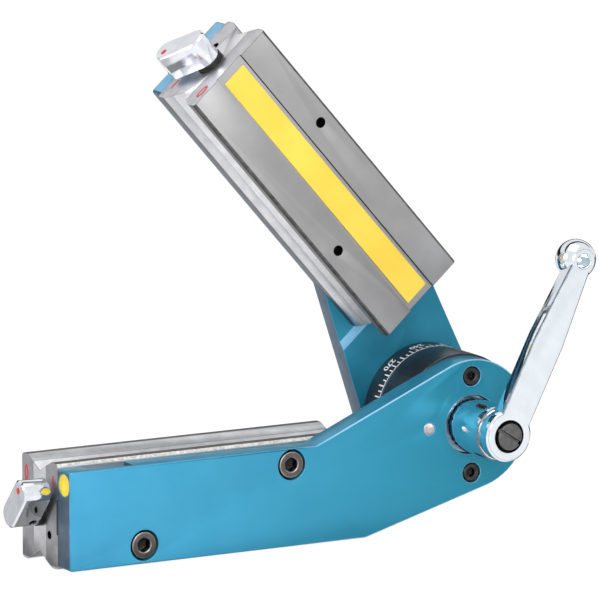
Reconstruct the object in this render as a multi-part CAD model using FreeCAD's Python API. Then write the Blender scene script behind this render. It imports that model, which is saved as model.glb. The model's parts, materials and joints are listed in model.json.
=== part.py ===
import FreeCAD, Part
import math
import os

# Adjustable welding magnet, in millimetres.
#
# Two dog-leg arm plates turn on one transverse pivot and each carries a switchable magnet bar.
# +Z is up, +X runs from the bars towards the pivot, and -Y is the side of the clamp lever.
# The origin is the middle of the lower bar's bottom working face, which the part stands on.
#
# Every arm piece is first drawn in the arm frame: the pivot axis is Y through the origin, the arm
# runs along -X, the bar's inner working face is Z = 0, the bar hangs below it, and the plate
# lies on the -Y side. The rear arm is the same arrangement turned over about X, then opened.

# Driving dimensions

# Angle between the inner working faces, as photographed
opening_angle = 48.5

# Magnet bar
magnet_length = 160.0
magnet_height = 50.8
magnet_thickness = 36.0
pole_thickness = 11.5
pole_land_width = 4.0
pole_corner_radius = 2.0
seat_bevel_depth = 2.5
seat_vee_depth = 3.5
face_channel_width = 17.0
face_channel_depth = 1.2

# Pivot to the near end of each bar, along the arm
pivot_setback = 60.0

# Magnet rotor
rotor_radius = 11.0
rotor_air_gap = 0.3
end_block_length = 12.0
magnet_slab_thickness = 8.0
magnet_slab_width = 20.0
flange_thickness = 6.0
slab_tongue_depth = 3.0
shaft_radius = 4.0
bush_radius = 6.0
tail_bush_length = 8.0
stop_pin_radius = 1.5
stop_pin_circle = 8.0
stop_slot_depth = 2.0
stop_pin_seat = 6.0
switch_travel = 90.0

# Switch lever
lever_depth = 13.5
lever_width = 13.0
lever_reach = 21.5
lever_tip_rise = 4.0
lever_corner_radius = 2.5
lever_standoff = 3.0
lever_edge = 0.8
lever_bore_depth = 10.0
lower_lever_angle = 42.0
upper_lever_angle = 54.0
seal_radius = 7.0
seal_rib_depth = 0.8
set_screw_radius = 2.0
set_screw_setback = 3.4
set_screw_recess = 0.6

# Arm plates
front_plate_thickness = 12.0
rear_plate_thickness = 9.5
rear_pad_height = 1.5
rear_pad_reach = 54.0
rear_pad_slope = 4.0
arm_gap = 0.5
plate_end_inset = 0.2
plate_inner_margin = 2.0
plate_outer_margin = 1.1
inner_bend_reach = 86.0
outer_bend_reach = 59.0
pivot_end_radius = 32.0
corner_radius = 1.5
bend_radius = 4.0
edge_break = 0.4

# Recess for the yellow disc and the relief in the front plate's inner edge
disc_radius = 5.4
disc_depth = 1.0
disc_drop = 7.0
relief_start = 11.5
relief_length = 24.0
relief_depth = 2.0
relief_lip = 2.5

# Bar screws, M8, placed as shares of the bar's own size from its middle
bar_screw_length_share = 0.25
bar_screw_height_share = 0.303
m8_radius = 4.0
m8_head_radius = 6.5
m8_head_height = 8.0
m8_low_head_height = 5.0
m8_counterbore_radius = 7.5
m8_socket = 6.0
bar_screw_bite = 10.0

# Tie screws, M5, through the end blocks
tie_screw_offset = 15.0
tie_screw_bite = 8.0
m5_radius = 2.5
m5_head_radius = 4.25
m5_head_height = 5.0
m5_counterbore_radius = 5.0
m5_socket = 4.0

# Tapped holes, M6, in each free pole
far_hole_length_share = 0.155
far_hole_height_share = 0.344
near_hole_length_share = 0.179
near_hole_height_share = 0.331
m6_tap_radius = 2.5
free_hole_depth = 9.0

# Small hole in the end of each plate-side pole
end_hole_radius = 2.0
end_hole_depth = 8.0
end_hole_side = 9.5
end_hole_drop = 10.0

# Drum at the pivot
drum_radius = 33.0
index_ring_width = 22.0
drum_running_gap = 0.1
ring_fixing_circle = 23.75
ring_screw_bite = 11.0
dial_screw_bite = 8.0
dowel_radius = 3.0
dowel_recess = 0.2
index_dowel_bite = 9.0
dial_dowel_bite = 7.0
drum_edge = 0.5

# Pivot stud, bush and washer
stud_radius = 8.0
stud_thread_radius = 6.0
stud_end_margin = 1.5
stud_flange_radius = 17.0
stud_flange_thickness = 5.0
stud_flat_half_width = 14.5
bush_wall = 3.0
washer_thickness = 1.5

# Clamp boss, insert and crank
boss_radius = 13.3
boss_seat_depth = 4.0
boss_seat_gap = 1.3
boss_front_reach = 27.0
boss_edge = 0.6
nut_across_flats = 19.0
nut_length = 22.0
boss_grub_radius = 3.0
boss_grub_reach = 14.0
boss_grub_angle = 293.0
boss_grub_recess = 0.4
spigot_width = 10.0
crank_hub_radius = 12.5
crank_hub_thickness = 8.0
crank_counterbore_radius = 8.0
crank_counterbore_depth = 3.6
crank_centres = 91.7
crank_angle = 63.0
crank_shank_relief = 0.3
crank_shank_width_hub = 17.0
crank_shank_width_tip = 10.4
crank_shank_straight = 50.0
crank_ball_radius = 9.8
crank_ball_setback = 7.8
crank_tip_hole_radius = 3.4
crank_tip_hole_depth = 8.0
crank_tip_countersink = 0.6
crank_shank_edge = 0.8
crank_hub_edge = 1.0
slotted_head_height = 5.0
slotted_slot_width = 1.6
slotted_slot_depth = 2.0
slotted_slot_angle = -33.0
slotted_screw_bite = 9.0

# Yellow strip in the upper bar's channel
strip_width = 13.2
strip_thickness = 0.3
strip_far_margin = 4.5
strip_near_margin = 3.4

# Clearances
running_clearance = 0.05
seat_clearance = 0.02
screw_clearance = 0.5
head_clearance = 0.3
head_edge = 0.5
end_float = 0.3

# Values worked out from the driving dimensions

bar_near = -pivot_setback
bar_far = -(pivot_setback + magnet_length)
bar_middle = (bar_near + bar_far) / 2
bar_axis_z = -magnet_height / 2
half_bar = magnet_thickness / 2
core_half = half_bar - pole_thickness
land_inner = half_bar - pole_corner_radius - pole_land_width
channel_floor = half_bar - face_channel_depth
rotor_bore_radius = rotor_radius + rotor_air_gap
window_far = bar_far + end_block_length
window_near = bar_near - end_block_length
drive_flange_face = window_far + end_float
tail_flange_face = window_near - end_float
shoe_far = drive_flange_face + flange_thickness
shoe_near = tail_flange_face - flange_thickness
journal_bore_radius = shaft_radius + running_clearance

plate_inner_face = -half_bar
front_plate_face = plate_inner_face - front_plate_thickness
rear_plate_face = plate_inner_face - rear_plate_thickness
pad_face = plate_inner_face + rear_pad_height
plate_far = bar_far + plate_end_inset
plate_inner_z = -plate_inner_margin
plate_outer_z = -magnet_height + plate_outer_margin

# The rear arm is turned over and stands arm_gap further back, so its own frame is shifted
index_ring_back = plate_inner_face + index_ring_width
dial_ring_front = index_ring_back + drum_running_gap
dial_ring_edge = arm_gap - dial_ring_front

boss_seat_floor = front_plate_face + boss_seat_depth
washer_front = boss_seat_floor - washer_thickness
boss_back = washer_front - drum_running_gap
boss_front = front_plate_face - boss_front_reach
crank_back = boss_front
crank_front = crank_back - crank_hub_thickness
crank_seat = crank_front + crank_counterbore_depth
spigot_front = crank_seat + head_clearance
stud_thread_start = washer_front
stud_thread_end = boss_back - nut_length + stud_end_margin
pivot_bush_radius = stud_radius + bush_wall

pivot_x = magnet_length / 2 + pivot_setback
pivot_z = magnet_height

AXIS_X = FreeCAD.Vector(1, 0, 0)
AXIS_Y = FreeCAD.Vector(0, 1, 0)
ARM_PIVOT = FreeCAD.Vector(0, 0, 0)


def point(x, y, z):
    return FreeCAD.Vector(x, y, z)


def rod_y(radius, y_from, y_to, x=0.0, z=0.0):
    """Cylinder along Y between two heights."""
    low = min(y_from, y_to)
    return Part.makeCylinder(radius, abs(y_to - y_from), point(x, low, z), AXIS_Y)


def rod_x(radius, x_from, x_to, y=0.0, z=bar_axis_z):
    """Cylinder along X, by default on the bar's rotor axis."""
    low = min(x_from, x_to)
    return Part.makeCylinder(radius, abs(x_to - x_from), point(low, y, z), AXIS_X)


def block(x_from, x_to, y_from, y_to, z_from, z_to):
    """Box between three pairs of limits."""
    low = point(min(x_from, x_to), min(y_from, y_to), min(z_from, z_to))
    return Part.makeBox(abs(x_to - x_from), abs(y_to - y_from), abs(z_to - z_from), low)


def prism(points, direction):
    """Closed polygon swept along a vector."""
    return Part.Face(Part.makePolygon(points + points[:1])).extrude(direction)


def hexagon_y(across_flats, y_from, y_to, x=0.0, z=0.0, turn=0.0):
    """Hexagonal prism along Y with a flat facing the angle turn in the XZ plane."""
    corner = across_flats / 2 / math.cos(math.pi / 6)
    angles = [math.radians(turn + 30 + 60 * k) for k in range(6)]
    points = [point(x + corner * math.cos(a), y_from, z + corner * math.sin(a)) for a in angles]
    return prism(points, point(0, y_to - y_from, 0))


def edges_at(shape, test):
    """Edges whose every vertex passes a test."""
    return [edge for edge in shape.Edges if all(test(v.Point) for v in edge.Vertexes)]


def rims(shape):
    """Full circles that bound a turned shape's end faces."""
    return [e for e in shape.Edges if e.Closed and len(e.Vertexes) == 1]


def chamfer_face_outline(shape, y, size):
    """Breaks the outer edge of the flat face that lies at height y."""
    faces = [f for f in shape.Faces if abs(f.BoundBox.YMin - y) < 1e-6 and abs(f.BoundBox.YMax - y) < 1e-6]
    outline = max(faces, key=lambda f: f.BoundBox.DiagonalLength).OuterWire
    return shape.makeChamfer(size, outline.Edges)


def cap_screw(radius, head_radius, head_height, socket, under_head, length, x, z, edge=0.0):
    """Socket cap screw along Y whose head stands on the -Y side of under_head."""
    head = rod_y(head_radius, under_head - head_height, under_head, x, z)
    top = under_head - head_height
    if edge:
        head = chamfer_face_outline(head, top, edge)
    shank = rod_y(radius, under_head, under_head + length, x, z)
    recess = hexagon_y(socket, top, top + head_height * 0.55, x, z)
    return head.fuse(shank).cut(recess).removeSplitter()


def compound(shapes):
    return Part.makeCompound(shapes)


# Magnet bar, drawn in the arm frame


def pole_profile(side):
    """Outline of one pole in the YZ plane; side is +1 for the free pole and -1 for the plate's."""
    top_to_channel = (magnet_height - face_channel_width) / 2
    half = [
        (core_half, seat_bevel_depth),
        (land_inner, 0.0),
        (half_bar, 0.0),
        (half_bar, top_to_channel),
        (channel_floor, top_to_channel),
    ]
    other = [(c, magnet_height - b) for c, b in reversed(half)]
    return [point(bar_far, side * c, -b) for c, b in half + other]


def pole_blank(side):
    blank = prism(pole_profile(side), point(magnet_length, 0, 0))
    corners = [
        e
        for e in blank.Edges
        if abs(abs(e.CenterOfMass.y) - half_bar) < 1e-6
        and min(abs(e.CenterOfMass.z), abs(e.CenterOfMass.z + magnet_height)) < 1e-6
    ]
    blank = blank.makeFillet(pole_corner_radius, corners)
    return blank.cut(rod_x(rotor_bore_radius, window_far, window_near))


def bar_screw_places():
    """The far screw sits on the outer side and the near one on the inner side."""
    dx = bar_screw_length_share * magnet_length
    dz = bar_screw_height_share * magnet_height
    return [(bar_middle - dx, bar_axis_z - dz), (bar_middle + dx, bar_axis_z + dz)]


def tie_screw_places():
    half_block = end_block_length / 2
    return [
        (x, bar_axis_z + dz)
        for x in (bar_far + half_block, bar_near - half_block)
        for dz in (-tie_screw_offset, tie_screw_offset)
    ]


def plate_pole():
    pole = pole_blank(-1)
    for x, z in bar_screw_places():
        pole = pole.cut(rod_y(m8_radius, -half_bar, -half_bar + bar_screw_bite + screw_clearance, x, z))
    for x, z in tie_screw_places():
        pole = pole.cut(rod_y(m5_radius + screw_clearance / 2, -half_bar, -core_half, x, z))
        head_seat = -half_bar + m5_head_height + head_clearance
        pole = pole.cut(rod_y(m5_head_radius + head_clearance, -half_bar, head_seat, x, z))
    hole_z = bar_axis_z - end_hole_drop
    return pole.cut(rod_x(end_hole_radius, bar_far, bar_far + end_hole_depth, -end_hole_side, hole_z))


def free_pole():
    pole = pole_blank(1)
    places = [
        (
            bar_middle - far_hole_length_share * magnet_length,
            bar_axis_z - far_hole_height_share * magnet_height,
        ),
        (
            bar_middle + near_hole_length_share * magnet_length,
            bar_axis_z + near_hole_height_share * magnet_height,
        ),
    ]
    for x, z in places:
        pole = pole.cut(rod_y(m6_tap_radius, half_bar - free_hole_depth, half_bar, x, z))
    for x, z in tie_screw_places():
        pole = pole.cut(rod_y(m5_radius, core_half, core_half + tie_screw_bite + screw_clearance, x, z))
    return pole


def core():
    """Non-magnetic spacer with a vee seat on both working faces and a window for the rotor."""
    vee = seat_bevel_depth + seat_vee_depth
    points = [
        point(bar_far, -core_half, -seat_bevel_depth),
        point(bar_far, 0, -vee),
        point(bar_far, core_half, -seat_bevel_depth),
        point(bar_far, core_half, -magnet_height + seat_bevel_depth),
        point(bar_far, 0, -magnet_height + vee),
        point(bar_far, -core_half, -magnet_height + seat_bevel_depth),
    ]
    body = prism(points, point(magnet_length, 0, 0))
    body = body.cut(rod_x(rotor_bore_radius, window_far, window_near))
    body = body.cut(rod_x(bush_radius, bar_far, window_far))
    body = body.cut(rod_x(bush_radius, window_near, window_near + tail_bush_length))
    body = body.cut(rod_x(stop_pin_radius, window_near, window_near + stop_pin_seat, *stop_pin_place()))
    for x, z in tie_screw_places():
        body = body.cut(rod_y(m5_radius + screw_clearance / 2, -core_half, core_half, x, z))
    return body


def tie_screws():
    under_head = -half_bar + m5_head_height + head_clearance
    length = core_half + tie_screw_bite - under_head
    screws = [
        cap_screw(m5_radius, m5_head_radius, m5_head_height, m5_socket, under_head, length, x, z)
        for x, z in tie_screw_places()
    ]
    return compound(screws)


def rotor_magnet():
    half_slab = magnet_slab_thickness / 2
    half_width = magnet_slab_width / 2
    far = shoe_far - slab_tongue_depth
    near = shoe_near + slab_tongue_depth
    return block(far, near, -half_slab, half_slab, bar_axis_z - half_width, bar_axis_z + half_width)


def rotor_shoes():
    half_slab = magnet_slab_thickness / 2
    blank = rod_x(rotor_radius, shoe_far, shoe_near)
    top = bar_axis_z + rotor_radius
    bottom = bar_axis_z - rotor_radius
    rear = blank.common(block(shoe_far, shoe_near, half_slab, rotor_radius, bottom, top))
    front = blank.common(block(shoe_far, shoe_near, -rotor_radius, -half_slab, bottom, top))
    return compound([rear, front])


def slab_slot(x_from, x_to):
    half_slab = magnet_slab_thickness / 2
    half_width = magnet_slab_width / 2
    return block(x_from, x_to, -half_slab, half_slab, bar_axis_z - half_width, bar_axis_z + half_width)


def drive_shaft():
    """Flange that drives the slab, journal and the end that carries the lever."""
    lever_back = bar_far - lever_standoff
    shaft = rod_x(shaft_radius, lever_back - lever_bore_depth, drive_flange_face)
    flange = rod_x(rotor_radius, drive_flange_face, shoe_far)
    return shaft.fuse(flange).cut(slab_slot(shoe_far - slab_tongue_depth, shoe_far))


def stop_pin_place():
    """Y and Z of the stop pin, straight below the rotor axis."""
    return (0.0, bar_axis_z - stop_pin_circle)


def tail_shaft():
    """Flange with the slab slot inside, the stop slot outside and the tail journal."""
    journal = rod_x(shaft_radius, tail_flange_face, window_near + tail_bush_length - end_float)
    flange = rod_x(rotor_radius, shoe_near, tail_flange_face)
    flange = flange.cut(slab_slot(shoe_near, shoe_near + slab_tongue_depth))
    return flange.fuse(journal).cut(stop_slot())


def stop_slot():
    """Arc slot that lets the rotor turn from ON to OFF round the fixed pin."""
    half_width = stop_pin_radius + end_float
    floor = tail_flange_face - stop_slot_depth
    outer = rod_x(stop_pin_circle + half_width, floor, tail_flange_face)
    inner = rod_x(stop_pin_circle - half_width, floor, tail_flange_face)
    y, z = stop_pin_place()
    ring = outer.cut(inner)
    far_corner = 2 * rotor_radius
    quadrant = block(floor, tail_flange_face, 0, far_corner, bar_axis_z - far_corner, bar_axis_z)
    arc = ring.common(quadrant)
    ends = []
    for turn in (0.0, switch_travel):
        end = rod_x(half_width, floor, tail_flange_face, y, z)
        end.rotate(point(0, 0, bar_axis_z), AXIS_X, turn)
        ends.append(end)
    return arc.fuse(ends)


def stop_pin():
    y, z = stop_pin_place()
    tip = tail_flange_face - stop_slot_depth + end_float
    return rod_x(stop_pin_radius, tip, window_near + stop_pin_seat, y, z)


def rotor_bushes():
    drive = rod_x(bush_radius, bar_far, window_far).cut(rod_x(journal_bore_radius, bar_far, window_far))
    tail_end = window_near + tail_bush_length
    tail = rod_x(bush_radius, window_near, tail_end)
    tail = tail.cut(rod_x(journal_bore_radius, window_near, tail_end))
    return compound([drive, tail])


def shaft_seal():
    """Ring with three ribs that fills the gap behind the lever."""
    face = bar_far - lever_standoff + end_float
    ring = rod_x(seal_radius, face, bar_far)
    rib = (bar_far - face) / 5
    for groove in (face + rib, face + 3 * rib):
        band = rod_x(seal_radius + seal_rib_depth, groove, groove + rib)
        ring = ring.cut(band.cut(rod_x(seal_radius - seal_rib_depth, groove, groove + rib)))
    return ring.cut(rod_x(journal_bore_radius, face, bar_far))


def switch_lever(on_angle):
    """Paddle with a round heel and a bowed tip, drawn pointing up and then turned to ON."""
    back = bar_far - lever_standoff
    front = back - lever_depth
    half = lever_width / 2
    top = bar_axis_z + lever_reach
    shoulder = top - lever_tip_rise
    tip_radius = (half**2 + lever_tip_rise**2) / (2 * lever_tip_rise)
    tip = rod_x(tip_radius, front, back, 0, top - tip_radius)
    tip = tip.common(block(front, back, -half, half, shoulder - lever_tip_rise, top))
    paddle = block(front, back, -half, half, bar_axis_z, shoulder)
    paddle = paddle.fuse([rod_x(half, front, back), tip]).removeSplitter()
    corners = edges_at(paddle, lambda p: abs(p.z - shoulder) < 1e-6)
    paddle = paddle.makeFillet(lever_corner_radius, corners)
    front_edges = edges_at(paddle, lambda p: p.x < front + 1e-6)
    paddle = paddle.makeChamfer(lever_edge, front_edges)
    paddle = paddle.cut(rod_x(shaft_radius + seat_clearance, back - lever_bore_depth, back))
    paddle = paddle.cut(rod_y(set_screw_radius, -half, 0, back - set_screw_setback, bar_axis_z))
    paddle.rotate(point(0, 0, bar_axis_z), AXIS_X, on_angle)
    return paddle


def lever_set_screw(on_angle):
    half = lever_width / 2
    x = bar_far - lever_standoff - set_screw_setback
    top = -half + set_screw_recess
    screw = rod_y(set_screw_radius, top, -shaft_radius, x, bar_axis_z)
    socket_depth = (-shaft_radius - top) * 0.6
    screw = screw.cut(hexagon_y(set_screw_radius, top, top + socket_depth, x, bar_axis_z))
    screw.rotate(point(0, 0, bar_axis_z), AXIS_X, on_angle)
    return screw


def marking_strip():
    far = bar_far + strip_far_margin
    near = bar_near - strip_near_margin
    half = strip_width / 2
    return block(far, near, channel_floor, channel_floor + strip_thickness, bar_axis_z - half, bar_axis_z + half)


# Arm plates, drawn in the arm frame


def tangent_point(x, z, radius, side):
    """Where the line from a point touches a circle about the pivot; side picks one of the two."""
    distance = math.hypot(x, z)
    angle = math.atan2(z, x) + side * math.acos(radius / distance)
    return point(radius * math.cos(angle), 0, radius * math.sin(angle))


def plate_outline():
    """Dog-leg outline in the XZ plane: straight bar part, two bends and a round pivot end."""
    inner_far = point(plate_far, 0, plate_inner_z)
    inner_bend = point(-inner_bend_reach, 0, plate_inner_z)
    outer_bend = point(-outer_bend_reach, 0, plate_outer_z)
    outer_far = point(plate_far, 0, plate_outer_z)
    inner_touch = tangent_point(inner_bend.x, inner_bend.z, pivot_end_radius, 1)
    outer_touch = tangent_point(outer_bend.x, outer_bend.z, pivot_end_radius, -1)
    if inner_touch.z < 0:
        inner_touch = tangent_point(inner_bend.x, inner_bend.z, pivot_end_radius, -1)
    if outer_touch.z > 0:
        outer_touch = tangent_point(outer_bend.x, outer_bend.z, pivot_end_radius, 1)
    nose = point(pivot_end_radius, 0, 0)
    edges = [
        Part.LineSegment(inner_far, inner_bend).toShape(),
        Part.LineSegment(inner_bend, inner_touch).toShape(),
        Part.Arc(inner_touch, nose, outer_touch).toShape(),
        Part.LineSegment(outer_touch, outer_bend).toShape(),
        Part.LineSegment(outer_bend, outer_far).toShape(),
        Part.LineSegment(outer_far, inner_far).toShape(),
    ]
    return Part.Wire(edges)


def plate_blank(y_from, y_to):
    outline = plate_outline()
    outline.translate(point(0, y_from, 0))
    blank = Part.Face(outline).extrude(point(0, y_to - y_from, 0))
    along_y = [e for e in blank.Edges if len(e.Vertexes) == 2 and abs(e.tangentAt(e.FirstParameter).y) > 0.99]
    corners = [e for e in along_y if abs(e.Vertexes[0].X - plate_far) < 1e-6]
    bends = [
        e
        for e in along_y
        if min(abs(e.Vertexes[0].X + inner_bend_reach), abs(e.Vertexes[0].X + outer_bend_reach)) < 1e-6
    ]
    blank = blank.makeFillet(corner_radius, corners)
    bends = [e for e in blank.Edges if any(same_place(e, b) for b in bends)]
    return blank.makeFillet(bend_radius, bends)


def same_place(edge, other):
    return edge.CenterOfMass.distanceToPoint(other.CenterOfMass) < 1e-6


def ring_screw_places():
    return [(0.0, ring_fixing_circle), (0.0, -ring_fixing_circle)]


def ring_dowel_places():
    return [(ring_fixing_circle, 0.0), (-ring_fixing_circle, 0.0)]


def screw_hole(plate, face, radius, counterbore_radius, head_height, x, z):
    """Clearance hole with a counterbore that leaves the head just under the face."""
    floor = face + head_height + head_clearance
    plate = plate.cut(rod_y(counterbore_radius, face, floor, x, z))
    return plate.cut(rod_y(radius + screw_clearance, floor, pad_face, x, z))


def front_plate():
    plate = plate_blank(front_plate_face, plate_inner_face)
    plate = chamfer_face_outline(plate, front_plate_face, edge_break)
    for x, z in bar_screw_places():
        plate = screw_hole(plate, front_plate_face, m8_radius, m8_counterbore_radius, m8_head_height, x, z)
    for x, z in ring_screw_places():
        plate = screw_hole(plate, front_plate_face, m5_radius, m5_counterbore_radius, m5_head_height, x, z)
    for x, z in ring_dowel_places():
        plate = plate.cut(rod_y(dowel_radius, front_plate_face, plate_inner_face, x, z))
    plate = plate.cut(rod_y(boss_radius + boss_seat_gap, front_plate_face, boss_seat_floor))
    plate = plate.cut(rod_y(pivot_bush_radius, boss_seat_floor, plate_inner_face))
    disc_z = plate_inner_z - disc_drop
    disc_y = (front_plate_face + plate_inner_face) / 2
    plate = plate.cut(rod_x(disc_radius + seat_clearance, plate_far, plate_far + disc_depth, disc_y, disc_z))
    relief_far = plate_far + relief_start
    relief = block(
        relief_far,
        relief_far + relief_length,
        front_plate_face + relief_lip,
        plate_inner_face,
        plate_inner_z - relief_depth,
        plate_inner_z,
    )
    return plate.cut(relief)


def front_marker_disc():
    disc_z = plate_inner_z - disc_drop
    disc_y = (front_plate_face + plate_inner_face) / 2
    return rod_x(disc_radius, plate_far + disc_depth / 4, plate_far + disc_depth, disc_y, disc_z)


def rear_plate():
    """Thinner plate with a raised pad round the pivot that carries the dial."""
    plate = plate_blank(rear_plate_face, pad_face)
    bottom = -2 * magnet_height
    slope_foot = -rear_pad_reach - rear_pad_slope
    beyond_pad = [
        point(bar_far - 1, plate_inner_face, bottom),
        point(slope_foot, plate_inner_face, bottom),
        point(-rear_pad_reach, pad_face, bottom),
        point(bar_far - 1, pad_face, bottom),
    ]
    plate = plate.cut(prism(beyond_pad, point(0, 0, 4 * magnet_height)))
    plate = chamfer_face_outline(plate, rear_plate_face, edge_break)
    for x, z in bar_screw_places():
        plate = screw_hole(plate, rear_plate_face, m8_radius, m8_counterbore_radius, m8_low_head_height, x, z)
    for x, z in ring_screw_places():
        plate = screw_hole(plate, rear_plate_face, m5_radius, m5_counterbore_radius, m5_head_height, x, z)
    for x, z in ring_dowel_places():
        plate = plate.cut(rod_y(dowel_radius, rear_plate_face, pad_face, x, z))
    plate = plate.cut(stud_flange(head_clearance, rear_plate_face))
    return plate.cut(rod_y(stud_radius + seat_clearance, rear_plate_face, pad_face))


def stud_flange(clearance, outer_face):
    """Round flange with two flats that key it in the plate."""
    inner = rear_plate_face + stud_flange_thickness + head_clearance
    flange = rod_y(stud_flange_radius + clearance, outer_face, inner)
    half = stud_flat_half_width + clearance
    far = 2 * stud_flange_radius
    return flange.common(block(-far, far, outer_face, inner, -half, half))


# Fasteners of the arms


def bar_screws(face, head_height):
    under_head = face + head_height + head_clearance
    length = plate_inner_face + bar_screw_bite - under_head
    screws = [
        cap_screw(m8_radius, m8_head_radius, head_height, m8_socket, under_head, length, x, z, head_edge)
        for x, z in bar_screw_places()
    ]
    return compound(screws)


def ring_screws(face, ring_face, bite):
    under_head = face + m5_head_height + head_clearance
    length = ring_face + bite - under_head
    screws = [
        cap_screw(m5_radius, m5_head_radius, m5_head_height, m5_socket, under_head, length, x, z, head_edge)
        for x, z in ring_screw_places()
    ]
    return compound(screws)


def ring_dowels(face, ring_face, bite):
    pins = [
        rod_y(dowel_radius, face + dowel_recess, ring_face + bite, x, z)
        for x, z in ring_dowel_places()
    ]
    return compound(pins)


# Drum and pivot


def drum_ring(y_from, y_to, bore_radius, fixing_face, screw_bite, dowel_bite):
    """Ring of the drum with tapped holes and dowel holes in the face on the plate."""
    ring = rod_y(drum_radius, y_from, y_to)
    ring = chamfer_face_outline(ring, y_to, drum_edge)
    ring = ring.cut(rod_y(bore_radius, y_from, y_to))
    for x, z in ring_screw_places():
        ring = ring.cut(rod_y(m5_radius, fixing_face, fixing_face + screw_bite + screw_clearance, x, z))
    for x, z in ring_dowel_places():
        ring = ring.cut(rod_y(dowel_radius, fixing_face, fixing_face + dowel_bite, x, z))
    return ring


def index_ring():
    return drum_ring(
        plate_inner_face,
        index_ring_back,
        pivot_bush_radius,
        plate_inner_face,
        ring_screw_bite,
        index_dowel_bite,
    )


def dial_ring():
    """Graduated ring of the rear arm, drawn in the arm frame before it is turned over."""
    return drum_ring(
        pad_face,
        dial_ring_edge,
        stud_radius + seat_clearance,
        pad_face,
        dial_screw_bite,
        dial_dowel_bite,
    )


def pivot_bush():
    tube = rod_y(pivot_bush_radius, boss_seat_floor, index_ring_back)
    return tube.cut(rod_y(stud_radius + running_clearance, boss_seat_floor, index_ring_back))


def thrust_washer():
    washer = rod_y(boss_radius + boss_seat_gap - seat_clearance, washer_front, boss_seat_floor)
    return washer.cut(rod_y(stud_radius + screw_clearance, washer_front, boss_seat_floor))


def pivot_stud():
    """Stud of the rear arm, in the arm frame before it is turned over; the thread is plain."""
    flange = stud_flange(0.0, rear_plate_face + head_clearance)
    flange_face = rear_plate_face + stud_flange_thickness + head_clearance
    journal = rod_y(stud_radius, flange_face, arm_gap - stud_thread_start)
    thread = rod_y(stud_thread_radius, arm_gap - stud_thread_start, arm_gap - stud_thread_end)
    return flange.fuse([journal, thread]).removeSplitter()


# Clamp lever


def clamp_boss():
    boss = rod_y(boss_radius, boss_front, boss_back)
    boss = chamfer_face_outline(boss, boss_front, boss_edge)
    half = spigot_width / 2
    boss = boss.fuse(block(-half, half, spigot_front, boss_front, -half, half))
    nut_end = boss_back - nut_length
    pocket = hexagon_y(nut_across_flats, boss_back, nut_end, turn=boss_grub_angle)
    boss = boss.cut(pocket)
    boss = boss.cut(rod_y(m8_radius, spigot_front, crank_seat + slotted_screw_bite + screw_clearance))
    return boss.cut(boss_grub_hole(boss_radius))


def boss_grub_hole(reach):
    """Radial cylinder from the insert's flat out to reach, at the grub screw's angle."""
    angle = math.radians(boss_grub_angle)
    out = point(math.cos(angle), 0, math.sin(angle))
    start = out * (nut_across_flats / 2)
    start.y = front_plate_face - boss_grub_reach
    return Part.makeCylinder(boss_grub_radius, reach - nut_across_flats / 2, start, out)


def boss_set_screw():
    reach = boss_radius - boss_grub_recess
    screw = boss_grub_hole(reach)
    angle = math.radians(boss_grub_angle)
    out = point(math.cos(angle), 0, math.sin(angle))
    socket_depth = (reach - nut_across_flats / 2) * 0.5
    corner = boss_grub_radius / 2 / math.cos(math.pi / 6)
    across = point(-out.z, 0, out.x)
    centre = out * (reach - socket_depth)
    centre.y = front_plate_face - boss_grub_reach
    points = []
    for k in range(6):
        turn = math.radians(60 * k)
        points.append(centre + across * (corner * math.cos(turn)) + AXIS_Y * (corner * math.sin(turn)))
    return screw.cut(prism(points, out * (2 * socket_depth)))


def clamp_nut():
    nut_end = boss_back - nut_length
    nut = hexagon_y(nut_across_flats - 2 * seat_clearance, boss_back, nut_end, turn=boss_grub_angle)
    return nut.cut(rod_y(stud_thread_radius + running_clearance, boss_back, nut_end))


def crank_shank():
    """Bar from the hub to the ball, drawn along +X: straight at first and then tapered."""
    back = crank_back - crank_shank_relief
    hub = crank_shank_width_hub / 2
    tip = crank_shank_width_tip / 2
    points = [
        point(0, crank_front, -hub),
        point(crank_shank_straight, crank_front, -hub),
        point(crank_centres, crank_front, -tip),
        point(crank_centres, crank_front, tip),
        point(crank_shank_straight, crank_front, hub),
        point(0, crank_front, hub),
    ]
    bar = prism(points, point(0, back - crank_front, 0))
    long_edges = [e for e in bar.Edges if abs(e.tangentAt(e.FirstParameter).x) > 0.9]
    bar = bar.makeChamfer(crank_shank_edge, long_edges)
    outside_hub = rod_y(crank_hub_radius - crank_hub_edge, crank_front, back)
    return bar.cut(outside_hub)


def crank_lever():
    """Hub, shank and ball end; the ball is cut off level with the front face."""
    hub = rod_y(crank_hub_radius, crank_front, crank_back)
    hub = hub.makeChamfer(crank_hub_edge, rims(hub))
    centre = point(crank_centres, crank_front + crank_ball_setback, 0)
    ball = Part.makeSphere(crank_ball_radius, centre, AXIS_Y)
    before_front = block(
        crank_centres - crank_ball_radius,
        crank_centres + crank_ball_radius,
        crank_front - crank_ball_radius,
        crank_front,
        -crank_ball_radius,
        crank_ball_radius,
    )
    crank = hub.fuse([crank_shank(), ball.cut(before_front)])
    crank = crank.cut(rod_y(crank_counterbore_radius, crank_front, crank_seat))
    half = spigot_width / 2 + seat_clearance
    socket = block(-half, half, crank_seat, crank_back, -half, half)
    socket.rotate(ARM_PIVOT, AXIS_Y, crank_angle)
    crank = crank.cut(socket)
    hole_floor = crank_front + crank_tip_hole_depth
    crank = crank.cut(rod_y(crank_tip_hole_radius, crank_front, hole_floor, crank_centres))
    countersink = Part.makeCone(
        crank_tip_hole_radius + crank_tip_countersink,
        crank_tip_hole_radius,
        crank_tip_countersink,
        point(crank_centres, crank_front, 0),
        AXIS_Y,
    )
    crank = crank.cut(countersink)
    crank.rotate(ARM_PIVOT, AXIS_Y, -crank_angle)
    return crank


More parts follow.
